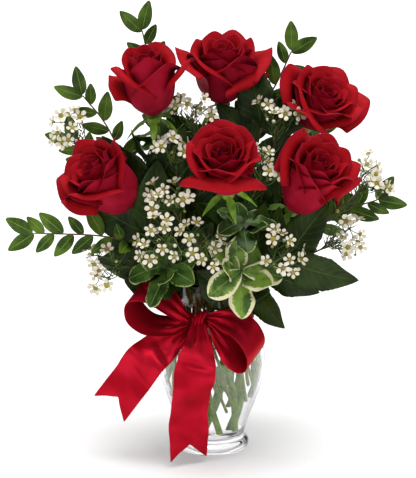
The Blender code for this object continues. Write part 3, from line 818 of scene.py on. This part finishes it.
HUCKLEBERRY_LEAF = leaf_green(
    "huckleberry_leaf", dark=(0.016, 0.046, 0.003), fresh=(0.084, 0.158, 0.012),
    rib=(0.20, 0.28, 0.05), gloss=0.34, rib_width=0.05,
)
TWIG_BARK = bark()


def make_sprig(name, slot, finish, leaves, thickness, line, radius=0.0015):
    """Joins a sprig's leaves to its stem, which narrows to half its radius at the tip."""
    bm = start_blades()
    add_stalks(bm, [line], radius, sides=8, taper=0.5)
    join_leaves(bm, leaves, thickness)
    return piece(name + "_sprig", bm, [TWIG_BARK, finish], slot, name, sharp=180)


for number, (slot, points) in HUCKLEBERRY.items():
    line = sprig_line(slot, points, number)
    leaves = start_blades()
    places = leaf_places(line, count=20, first=0.40, angle=50, length=0.0310)
    for i, (base, way, face, length) in enumerate(places):
        add_leaf(
            leaves, base, way, face, length, length * 0.45, OVAL_LEAF, columns=4, rows=7,
            fold=0.30, droop=0.10 + 0.08 * math.sin(2 * i + number), waves=0.10, phase=i,
        )
    rounded(make_sprig(
        f"huckleberry_{number}", "huckleberry_leaf", HUCKLEBERRY_LEAF, leaves,
        thickness=0.00035, line=line, radius=0.0014,
    ))


# ------------------------ the salal leaves
# Large leathery dark leaves with fine teeth, on stout twigs. They are set low, to cover the
# mouth of the vase.
SALAL = {
    1: ((52, 24.5), [(40, -36, 170), (64, -52, 186)]),
    2: ((88, 12.5), [(28, 10, 230), (44, 14, 290)]),
    3: ((308, 24.5), [(-34, -34, 176), (-56, -40, 206)]),
    4: ((182, 24.5), [(0, 46, 190), (2, 66, 246)]),
    5: ((272, 19.5), [(-42, 2, 205), (-54, -14, 240)]),
    6: ((112, 18.5), [(40, 8, 200), (72, 4, 228)]),
}
SALAL_LEAF = leaf_green(
    "salal_leaf", dark=(0.007, 0.016, 0.001), fresh=(0.020, 0.041, 0.003),
    rib=(0.052, 0.090, 0.012), gloss=0.34, rib_width=0.030,
)
for number, (slot, points) in SALAL.items():
    line = sprig_line(slot, points, number)
    leaves = start_blades()
    places = leaf_places(line, count=9, first=0.56, angle=58, length=0.064)
    for i, (base, way, face, length) in enumerate(places):
        add_leaf(
            leaves, base, way, face, length, length * 0.60, BROAD_LEAF, columns=8, rows=44,
            fold=0.22, droop=0.12 + 0.04 * i, waves=0.12, phase=2 * i + number, teeth=22,
        )
    make_sprig(f"salal_{number}", "salal_leaf", SALAL_LEAF, leaves, thickness=0.00045, line=line)


# ------------------------ the variegated pittosporum
# Short sprigs whose wavy leaves spread like a rosette at the tip. The front one's leaves have a
# broad cream margin, and the others are greener with a narrow one.
PITTOSPORUM = {
    1: ((22, 25), [(18, -48, 168), (26, -68, 181)]),
    2: ((332, 25), [(-26, -46, 168), (-42, -64, 184)]),
    3: ((38, 18), [(22, -40, 190), (28, -60, 224)]),
    4: ((270, 15), [(-30, 4, 230), (-48, 6, 286)]),
    5: ((156, 25), [(26, 50, 176), (46, 78, 206)]),
}
LEAF_REACH = {1: 0.042, 2: 0.038, 3: 0.032, 4: 0.036, 5: 0.040}
ROSETTE = 8  # leaves
BLUNT_LEAF = (1.30, 0.62)


def tip_of(line):
    """A stem's tip, its direction there, and a function for the ways out from it at an angle."""
    tip, way = along(line, 1.0)
    across = way.cross(Vector((0, 0, 1))).normalized()
    other = way.cross(across)
    return tip, way, lambda angle: across * math.cos(angle) + other * math.sin(angle)


def rosette_places(line, count, length):
    """Places for leaves that spread from the tip of a stem, and a few below it."""
    _, way, out_at = tip_of(line)
    for i in range(count):
        lean = 0.95 if i < 5 else 0.45
        out = out_at(math.radians(GOLDEN_ANGLE * i + 30))
        point = line[-1] - way * (0.0008 + 0.0030 * i)
        leaf_way = (out * lean + way * (1.1 - lean)).normalized()
        yield point, leaf_way, way, length * (1 - 0.05 * (i % 3))


def variegated(name, dark, fresh, cream, edge_from):
    """Green blade, cream margin with a ragged inner edge, pale rib."""
    skin = Finish(name, Roughness=0.38, Specular_IOR_Level=0.2)
    blade, across, up = skin.blade()
    ragged = skin.noise(skin.stretched(blade, (3.0, 9.0, 1.0)), 2.2, 3.0)
    clouds = skin.noise(skin.place(), 80.0, 2.0)
    edge = across + up**5.0 * 0.45 + (ragged - 0.5) * 0.62
    margin = skin.window(edge, edge_from, edge_from + 0.10)
    rib = 1 - skin.window(across, 0.02, 0.07)
    green = skin.mix(skin.window(clouds, 0.38, 0.62), dark, fresh)
    colour = skin.mix(rib * 0.6, green, (0.20, 0.30, 0.08))
    colour = skin.mix(margin, colour, cream)
    skin.drive(Base_Color=colour)
    skin.bump(rib * -1.0 + clouds * 0.4, 0.0004, 0.5)
    return skin


BROAD_MARGIN = variegated(
    "pittosporum_leaf", dark=(0.045, 0.095, 0.014), fresh=(0.170, 0.290, 0.035),
    cream=(0.70, 0.68, 0.42), edge_from=0.70,
)
NARROW_MARGIN = variegated(
    "pittosporum_old_leaf", dark=(0.014, 0.040, 0.005), fresh=(0.050, 0.110, 0.014),
    cream=(0.30, 0.35, 0.12), edge_from=0.96,
)
for number, (slot, points) in PITTOSPORUM.items():
    line = sprig_line(slot, points, number)
    leaves = start_blades()
    places = rosette_places(line, ROSETTE, LEAF_REACH[number])
    for i, (base, way, face, length) in enumerate(places):
        add_leaf(
            leaves, base, way, face, length, length * 0.58, BLUNT_LEAF, columns=8, rows=11,
            fold=0.16, droop=0.16 + 0.10 * math.sin(i), waves=0.20, phase=1.9 * i,
        )
    rounded(make_sprig(
        f"pittosporum_{number}", "variegated_leaf", BROAD_MARGIN if number == 1 else NARROW_MARGIN,
        leaves, thickness=0.0004, line=line,
    ))


# ------------------------ the waxflower
# Wiry sprigs that branch into a cloud of small blossoms: five round waxy white petals round a
# yellow-green cup, with round buds and a few needle leaves between them.
WAXFLOWER = {
    1: ((250, 18), [(-60, 26, 215), (-126, 0, 290)]),
    2: ((330, 12), [(-10, -4, 230), (-18, 0, 306)]),
    3: ((318, 16), [(-26, -22, 220), (-34, -30, 282)]),
    4: ((96, 19), [(42, 4, 220), (60, -6, 302)]),
    5: ((30, 17), [(26, -24, 210), (48, -30, 268)]),
    6: ((74, 24.5), [(76, -16, 190), (140, -24, 252)]),
    7: ((66, 20), [(62, -24, 172), (116, -36, 202)]),
    8: ((322, 20), [(-22, -34, 200), (-40, -54, 244)]),
    9: ((300, 25), [(-44, -30, 174), (-92, -56, 180)]),
    10: ((350, 19), [(-6, -44, 178), (-10, -82, 206)]),
    11: ((40, 25), [(36, -44, 168), (62, -74, 196)]),
    12: ((340, 19), [(-22, -44, 180), (-46, -74, 208)]),
    13: ((212, 19), [(-22, 36, 200), (-44, 64, 266)]),
    14: ((150, 19), [(28, 40, 190), (58, 72, 242)]),
}
SPRAY_R = 0.023
CLUSTERS = 4
BLOSSOMS = (3, 1, 4, 2)  # in a cluster, in turn
BUDS = 2
PETALS = 5
NEEDLES_ON_TWIG = 8
NEEDLES_ON_STEM = 34
WAX_STEM_R = 0.0014
WAX_TWIG_R = 0.00045
PETAL, CUP, EYE, GREEN, WOOD = range(5)
# A blossom's cup, eye and stigma: how high each sits, its radius below and above, its depth, its
# finish and its number of sides.
MIDDLE = [
    (-0.0016, 0.0008, 0.0026, 0.0030, CUP, 8),
    (0.0001, 0.0021, 0.0019, 0.0006, EYE, 8),
    (0.0006, 0.0007, 0.0003, 0.0012, CUP, 5),
]


def waxy(name, scale, edges, light, dark, roughness, specular):
    """A waxy skin that drifts between two colours."""
    skin = Finish(name, Roughness=roughness, Specular_IOR_Level=specular)
    tint = skin.noise(skin.place(), scale, 2.0)
    skin.drive(Base_Color=skin.mix(skin.window(tint, *edges), light, dark))
    if "petal" in name:
        skin.bump(tint, 0.0003, 0.3)
    return skin


# Each finish: the scale of its drift and where that begins and ends, its two colours, its
# roughness and its specular level.
WAX_FINISHES = [
    waxy("waxflower_petal", 240, (0.40, 0.70), (0.72, 0.68, 0.56), (0.58, 0.51, 0.38), 0.45, 0.4),
    waxy("waxflower_cup", 120, (0.40, 0.65), (0.40, 0.38, 0.05), (0.26, 0.20, 0.03), 0.34, 0.5),
    waxy("waxflower_eye", 90, (0.40, 0.65), (0.30, 0.27, 0.03), (0.15, 0.11, 0.015), 0.50, 0.5),
    waxy("waxflower_green", 120, (0.35, 0.7), (0.02, 0.05, 0.006), (0.11, 0.17, 0.03), 0.50, 0.3),
    TWIG_BARK,
]


def paint(verts, finish):
    """Gives the faces of newly made vertices their finish."""
    for face in {face for vert in verts for face in vert.link_faces}:
        face.material_index = finish


def add_puck(bm, place, low, high, depth, finish, sides=8):
    """Adds a short closed cone: a cup, an eye, a petal or a needle."""
    made = bmesh.ops.create_cone(
        bm, cap_ends=True, segments=sides, radius1=low, radius2=high, depth=depth, matrix=place,
    )
    paint(made["verts"], finish)


def add_blossom(bm, middle, aim, size, spin):
    """Adds a blossom: a cup with a dark eye, and five round petals apart from each other."""
    turn = pointing(middle, aim) @ Matrix.Rotation(spin, 4, "Z") @ Matrix.Scale(size, 4)
    for height, *cone in MIDDLE:
        add_puck(bm, turn @ Matrix.Translation((0, 0, height)), *cone)
    for i in range(PETALS):
        place = Matrix.Rotation(math.radians(360 / PETALS * i), 4, "Z")
        place = place @ Matrix.Translation((0.0026, 0, 0.0001))
        lift = Matrix.Rotation(math.radians(-22 - 9 * math.sin(2.1 * i + spin)), 4, "Y")
        disc = Matrix.Translation((0.0021, 0, 0)) @ Matrix.Diagonal((1.10, 0.96, 1, 1))
        add_puck(bm, turn @ place @ lift @ disc, 0.0018, 0.0022, 0.0006, PETAL)


def add_bud(bm, middle, size, finish):
    made = bmesh.ops.create_uvsphere(
        bm, u_segments=8, v_segments=5, radius=size, matrix=Matrix.Translation(middle),
    )
    paint(made["verts"], finish)


def add_needle(bm, base, way, length):
    add_puck(bm, pointing(base + way * length / 2, way), 0.0007, 0.0001, length, GREEN, 4)


def fraction(value):
    """The part after the point, which spreads a count evenly between 0 and 1."""
    return value - math.floor(value)


def add_cluster(bm, cluster, number, tip, way, out_at):
    """Adds blossoms, buds and needles on one side of a stem's tip. Gives their twigs."""
    reach = SPRAY_R * (0.42 + 0.36 * fraction(0.618 * (cluster + 2 * number)))
    out = out_at(math.radians(360 * cluster / CLUSTERS + 67 * number))
    rise = 0.016 * (fraction(0.382 * (3 * cluster + number)) - 0.55)
    node = tip + out * reach + way * rise
    root = tip - way * (0.016 + 0.012 * fraction(0.71 * cluster))
    twigs = [smooth_line([root, root.lerp(node, 0.5) + out * 0.003, node], 3)]
    for i in range(BLOSSOMS[(cluster + number) % len(BLOSSOMS)]):
        step = out_at(math.radians(GOLDEN_ANGLE * i + 80 * cluster + 31 * number))
        blossom = node + step * (0.0075 + 0.0015 * (i % 2)) + way * (0.004 + 0.003 * (i % 3))
        aim = (step * 0.75 + out * 0.25 + Vector((0, -0.85, 0.35)) + way * 0.3).normalized()
        bend = node.lerp(blossom, 0.5) - way * 0.001
        twigs.append(smooth_line([node, bend, blossom - aim * 0.003], 2))
        add_blossom(bm, blossom, aim, 0.94 + 0.10 * math.sin(3 * i + number), i + cluster)
    for i in range(BUDS):
        step = out_at(math.radians(GOLDEN_ANGLE * i + 190 * cluster + 17 * number))
        bud = node + step * (0.0055 + 0.003 * i) + way * (0.003 * i - 0.003)
        twigs.append([node, bud])
        add_bud(bm, bud, 0.0013 + 0.0004 * (i % 2), PETAL if (i + cluster) % 3 else CUP)
    for k in range(NEEDLES_ON_TWIG):
        turn = THORN_ANGLE * (NEEDLES_ON_TWIG * cluster + k) + 20 * number
        side = around(turn, 1, 0.5).normalized()
        base = root.lerp(node, 0.05 + 0.13 * k)
        add_needle(bm, base, (side + way * 0.7).normalized(), 0.012 + 0.002 * (k % 3))
    return twigs


for number, (slot, points) in WAXFLOWER.items():
    line = sprig_line(slot, points, number)
    bm = bmesh.new()
    twigs = []
    for cluster in range(CLUSTERS):
        twigs += add_cluster(bm, cluster, number, *tip_of(line))
    for k in range(NEEDLES_ON_STEM):
        at, ahead = along(line, 0.46 + 0.0155 * k)
        side = around(GOLDEN_ANGLE * k + 40 * number, 1, 0.2).normalized()
        add_needle(bm, at, (side + ahead * 0.9).normalized(), 0.014 + 0.002 * (k % 3))
    add_stalks(bm, [line], WAX_STEM_R, sides=6, taper=0.5, finish=WOOD)
    add_stalks(bm, twigs, WAX_TWIG_R, sides=6, taper=0.9, finish=GREEN)
    name = f"waxflower_{number}"
    piece(name + "_spray", bm, WAX_FINISHES, "waxflower", name, sharp=50)


# ------------------------ the ribbon
# One length of wide red satin, 36 mm across: a turn round the neck, two loops and two tails cut
# to a swallow's tail, gathered under a knot. Each stretch is a sheet of its own.
RIBBON_W = 0.036
RIBBON_T = 0.0005
BAND_R = 0.0350
BAND_Z = (0.1205, 0.1335)
BAND_FOLD = 0.0014
KNOT_FOLD = 0.0009
# Each strip: points down its middle in mm, the way its width lies at them, and how wide it is
# there as a share of the ribbon's width; gathered at the knot, flat further out.
STRIPS = {
    "bow_loop_left": (
        [(-21.2, -44, 130), (-36, -45, 145), (-54, -49, 158),
         (-68.5, -50.5, 155), (-68, -52, 140), (-55.5, -52.2, 128.5),
         (-36.5, -50, 125), (-21.2, -45, 125.5)],
        [(0.05, 0.50, 0.85), (0.30, 0.76, 0.58), (0.30, 0.84, 0.45), (0.34, 0.88, 0.30),
         (0.38, 0.88, 0.28), (0.36, 0.88, 0.30), (0.28, 0.80, 0.54), (0.05, 0.60, 0.80)],
        [0.28, 0.75, 0.92, 1.0, 1.0, 0.95, 0.70, 0.24],
    ),
    "bow_loop_right": (
        [(-3.3, -44.5, 132), (15, -50, 130.5), (30, -54, 122),
         (38, -56, 108.5), (36.5, -56.5, 97.5), (29, -56.5, 95.5),
         (18, -56, 103), (6, -51, 116), (-3.3, -45, 126.2)],
        [(0.10, 0.30, 0.95), (0.38, 0.70, 0.60), (0.42, 0.80, 0.43), (0.44, 0.82, 0.36),
         (0.44, 0.82, 0.36), (0.44, 0.82, 0.36), (0.42, 0.78, 0.46), (0.35, 0.64, 0.68),
         (0.10, 0.45, 0.89)],
        [0.22, 0.70, 0.95, 1.0, 1.0, 1.0, 0.90, 0.55, 0.20],
    ),
    "ribbon_tail_left": (
        [(-19, -44, 123.5), (-40, -56, 112), (-59, -64, 97),
         (-73, -61.5, 77), (-91.3, -52.5, 50)],
        [(0.55, -0.35, -0.76), (0.62, -0.34, -0.70), (0.67, -0.28, -0.69),
         (0.69, -0.18, -0.70), (0.70, -0.10, -0.70)],
        [0.24, 0.80, 1.0, 1.0, 1.0],
    ),
    "ribbon_tail_front": (
        [(-12.2, -47, 126.2), (-12.8, -64, 104), (-15, -69, 88),
         (-19, -65.5, 60), (-20.6, -60, 30), (-20.8, -59, 5.2)],
        [(1.0, 0.05, 0.0), (0.98, 0.15, -0.10), (0.98, 0.18, -0.08),
         (0.95, 0.30, 0.0), (0.93, 0.36, 0.0), (0.93, 0.36, 0.0)],
        [0.38, 0.88, 1.0, 1.0, 1.0, 1.0],
    ),
}
NOTCH = 0.13  # depth of the V cut in a tail's end, as a share of its length
RIBBON_COLUMNS = 20
ROWS_PER_SPAN = 9
PLEATS = 2.5
PLEAT_DEPTH = 0.0030
TAIL_RIPPLE = 0.0034
LOOP_RIPPLE = 0.0003


def satin():
    """Shiny red satin with fine cross ribs. Its gloss takes the colour of the thread."""
    cloth = Finish(
        "red_satin", Specular_IOR_Level=0.10, Metallic=0.55, Specular_Tint=(0.60, 0.02, 0.05, 1),
    )
    strip = cloth.place("UV")
    wave = {"Vector": strip, "Scale": 40.0}
    ribs = cloth.node("ShaderNodeTexWave", {"bands_direction": "Y"}, wave)
    threads = cloth.noise(cloth.stretched(strip, (30.0, 240.0, 1.0)), 1.0, 1.0)
    clouds = cloth.noise(cloth.place(), 35.0, 2.0)
    colour = cloth.mix(cloth.window(clouds, 0.35, 0.7), (0.38, 0.005, 0.015), (0.50, 0.009, 0.027))
    cloth.drive(Base_Color=colour, Roughness=0.24 + threads * 0.14)
    cloth.bump(threads * 0.6 + ribs * 0.4, 0.0002, 0.35)
    return cloth


RED_SATIN = satin()


def satin_sheet(name, bm, replaced):
    """Ends a sheet of ribbon, which replaces its CAD node, and gives it its thickness."""
    made = piece(name, bm, [RED_SATIN], "satin_ribbon", replaced, sharp=180)
    thicken(made, RIBBON_T, offset=0.0)


def ribbon_strip(name, middle, width_ways, shares, notch, ripple):
    """A strip of ribbon along its middle line, pleated where it is gathered."""
    line = smooth_line(in_metres(middle), ROWS_PER_SPAN)
    ways = smooth_line(width_ways, ROWS_PER_SPAN)
    spans = smooth_line([(share, 0, 0) for share in shares], ROWS_PER_SPAN)
    length = sum((b - a).length for a, b in zip(line, line[1:]))
    bm = start_blades()
    for vert, across, up in blade_vertices(bm, RIBBON_COLUMNS, len(line) - 1):
        share = up * (1 - notch * (1 - abs(across)))
        row = share * (len(line) - 1)
        low = min(int(row), len(line) - 2)
        t = row - low
        span = spans[low].lerp(spans[low + 1], t).x
        way = ways[low].lerp(ways[low + 1], t).normalized()
        normal = (line[low + 1] - line[low]).cross(way).normalized()
        gather = max(1 - span, 0)
        depth = PLEAT_DEPTH * gather * math.cos(math.pi * PLEATS * across + 2 * share)
        wave = math.sin(16 * share + 1.0 * across) + 0.35 * math.sin(37 * share - 2.2 * across)
        depth += ripple * wave * eased(share, 0.05, 0.20) * (1 - 0.35 * share)
        half = 0.5 * RIBBON_W * span
        vert.co = line[low].lerp(line[low + 1], t) + across * half * way + normal * depth
    cut = RIBBON_W * length * (1 - notch / 2)
    satin_sheet(name + "_satin", bm, name)


for name, strip in STRIPS.items():
    notch, ripple = (NOTCH, TAIL_RIPPLE) if "tail" in name else (0, LOOP_RIPPLE)
    ribbon_strip(name, *strip, notch, ripple)


def neck_band():
    """The turn of ribbon round the neck, drawn together into soft folds."""
    low, high = BAND_Z
    bm = start_blades()
    for vert, across, up in blade_vertices(bm, 28, 120):
        turn = 360 * up
        fold = math.sin(math.pi * 5.2 * across + 1.6 * math.sin(math.radians(2 * turn + 40)))
        radius = BAND_R + 0.0016 + BAND_FOLD * fold
        spread = 1 + 0.12 * math.sin(math.radians(3 * turn))
        height = (low + high) / 2 + across * (high - low) / 2 * spread
        vert.co = around(turn, radius, height)
    bmesh.ops.remove_doubles(bm, verts=bm.verts, dist=1e-5)
    satin_sheet("ribbon_neck_satin", bm, "ribbon_neck_band")


def knot():
    """The short stretch that goes over the middle of the bow and back under it."""
    low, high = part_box("bow_knot")
    middle, size = (low + high) / 2, high - low
    bm = start_blades()
    for vert, across, up in blade_vertices(bm, 24, 40):
        turn = math.tau * up
        waist = 1 - 0.22 * math.cos(turn) ** 2
        fold = KNOT_FOLD * math.sin(math.pi * 3.4 * across + 1.2 * math.sin(turn))
        out = Vector((0, -math.cos(turn), math.sin(turn)))
        crown = 1 - 0.30 * abs(across) ** 2.5
        lean = 0.30 * out.z * size.z / 2
        vert.co = middle + Vector((
            across * size.x / 2 * waist * 0.86 + lean,
            out.y * (size.y / 2 * crown + fold),
            out.z * (size.z / 2 * crown + fold) + 0.16 * across * size.x / 2,
        ))
    bmesh.ops.remove_doubles(bm, verts=bm.verts, dist=1e-5)
    satin_sheet("bow_knot_satin", bm, "bow_knot")


neck_band()
knot()


# ------------------------ the studio
# A plain pale floor in a white surround, with three large soft lamps: the key above, a wide one
# in front on the right, and one behind that lifts the bouquet off its background.
FILL = 0.28  # the strength of the surround where it isn't looked at


def make_floor():
    pale = Finish("floor", Base_Color=(0.93, 0.93, 0.93, 1), Roughness=0.8)
    bm = bmesh.new()
    bmesh.ops.create_grid(bm, x_segments=1, y_segments=1, size=4.0)
    bmesh.ops.translate(bm, vec=(0, 0, -0.0002), verts=bm.verts)
    mesh = bpy.data.meshes.new("floor")
    bm.to_mesh(mesh)
    bm.free()
    mesh.materials.append(pale.material)
    floor = bpy.data.objects.new("floor", mesh)
    bpy.context.scene.collection.objects.link(floor)


class Surround(Finish):
    """A white surround that is bright where it is looked at and gives a softer fill."""

    def __init__(self):
        world = bpy.data.worlds.new("surround")
        world.use_nodes = True
        self.tree = world.node_tree
        self.shader = self.tree.nodes["Background"]
        self.shader.inputs["Color"].default_value = (1, 1, 1, 1)
        seen = self.node("ShaderNodeLightPath", output="Is Camera Ray")
        seen_through = self.node("ShaderNodeLightPath", output="Is Transmission Ray")
        seen = seen.maths("MAXIMUM", seen, seen_through)
        strength = {"Value": seen, "To Min": FILL, "To Max": 1.0}
        self.drive(Strength=self.node("ShaderNodeMapRange", {}, strength))
        bpy.context.scene.world = world


def lamp(name, azimuth, elevation, spread, strength):
    """A large soft lamp far away, at an azimuth and elevation in degrees."""
    light = bpy.data.lights.new(name, "SUN")
    light.angle = math.radians(spread)
    light.energy = strength
    made = bpy.data.objects.new(name, light)
    height = math.radians(elevation)
    made.location = around(azimuth, math.cos(height), math.sin(height))
    made.rotation_euler = made.location.to_track_quat("Z", "Y").to_euler()
    bpy.context.scene.collection.objects.link(made)


make_floor()
Surround()
lamp("key", azimuth=12, elevation=80, spread=45, strength=2.15)
lamp("fill", azimuth=24, elevation=44, spread=110, strength=1.15)
lamp("back", azimuth=180, elevation=72, spread=60, strength=1.40)


# ------------------------ the camera
# A long lens a little above the bouquet, which looks down on it from the front.
CAMERA_X = -0.0036
camera = bpy.data.objects.new("camera", bpy.data.cameras.new("camera"))
camera.data.lens = 156.31
camera.data.sensor_width = 36
camera.location = (CAMERA_X, -1.80, 0.615)
aim = Vector((CAMERA_X, 0, 0.19206))
camera.rotation_euler = (aim - camera.location).to_track_quat("-Z", "Y").to_euler()
bpy.context.scene.collection.objects.link(camera)
bpy.context.scene.camera = camera
bpy.context.scene.view_settings.view_transform = "Standard"
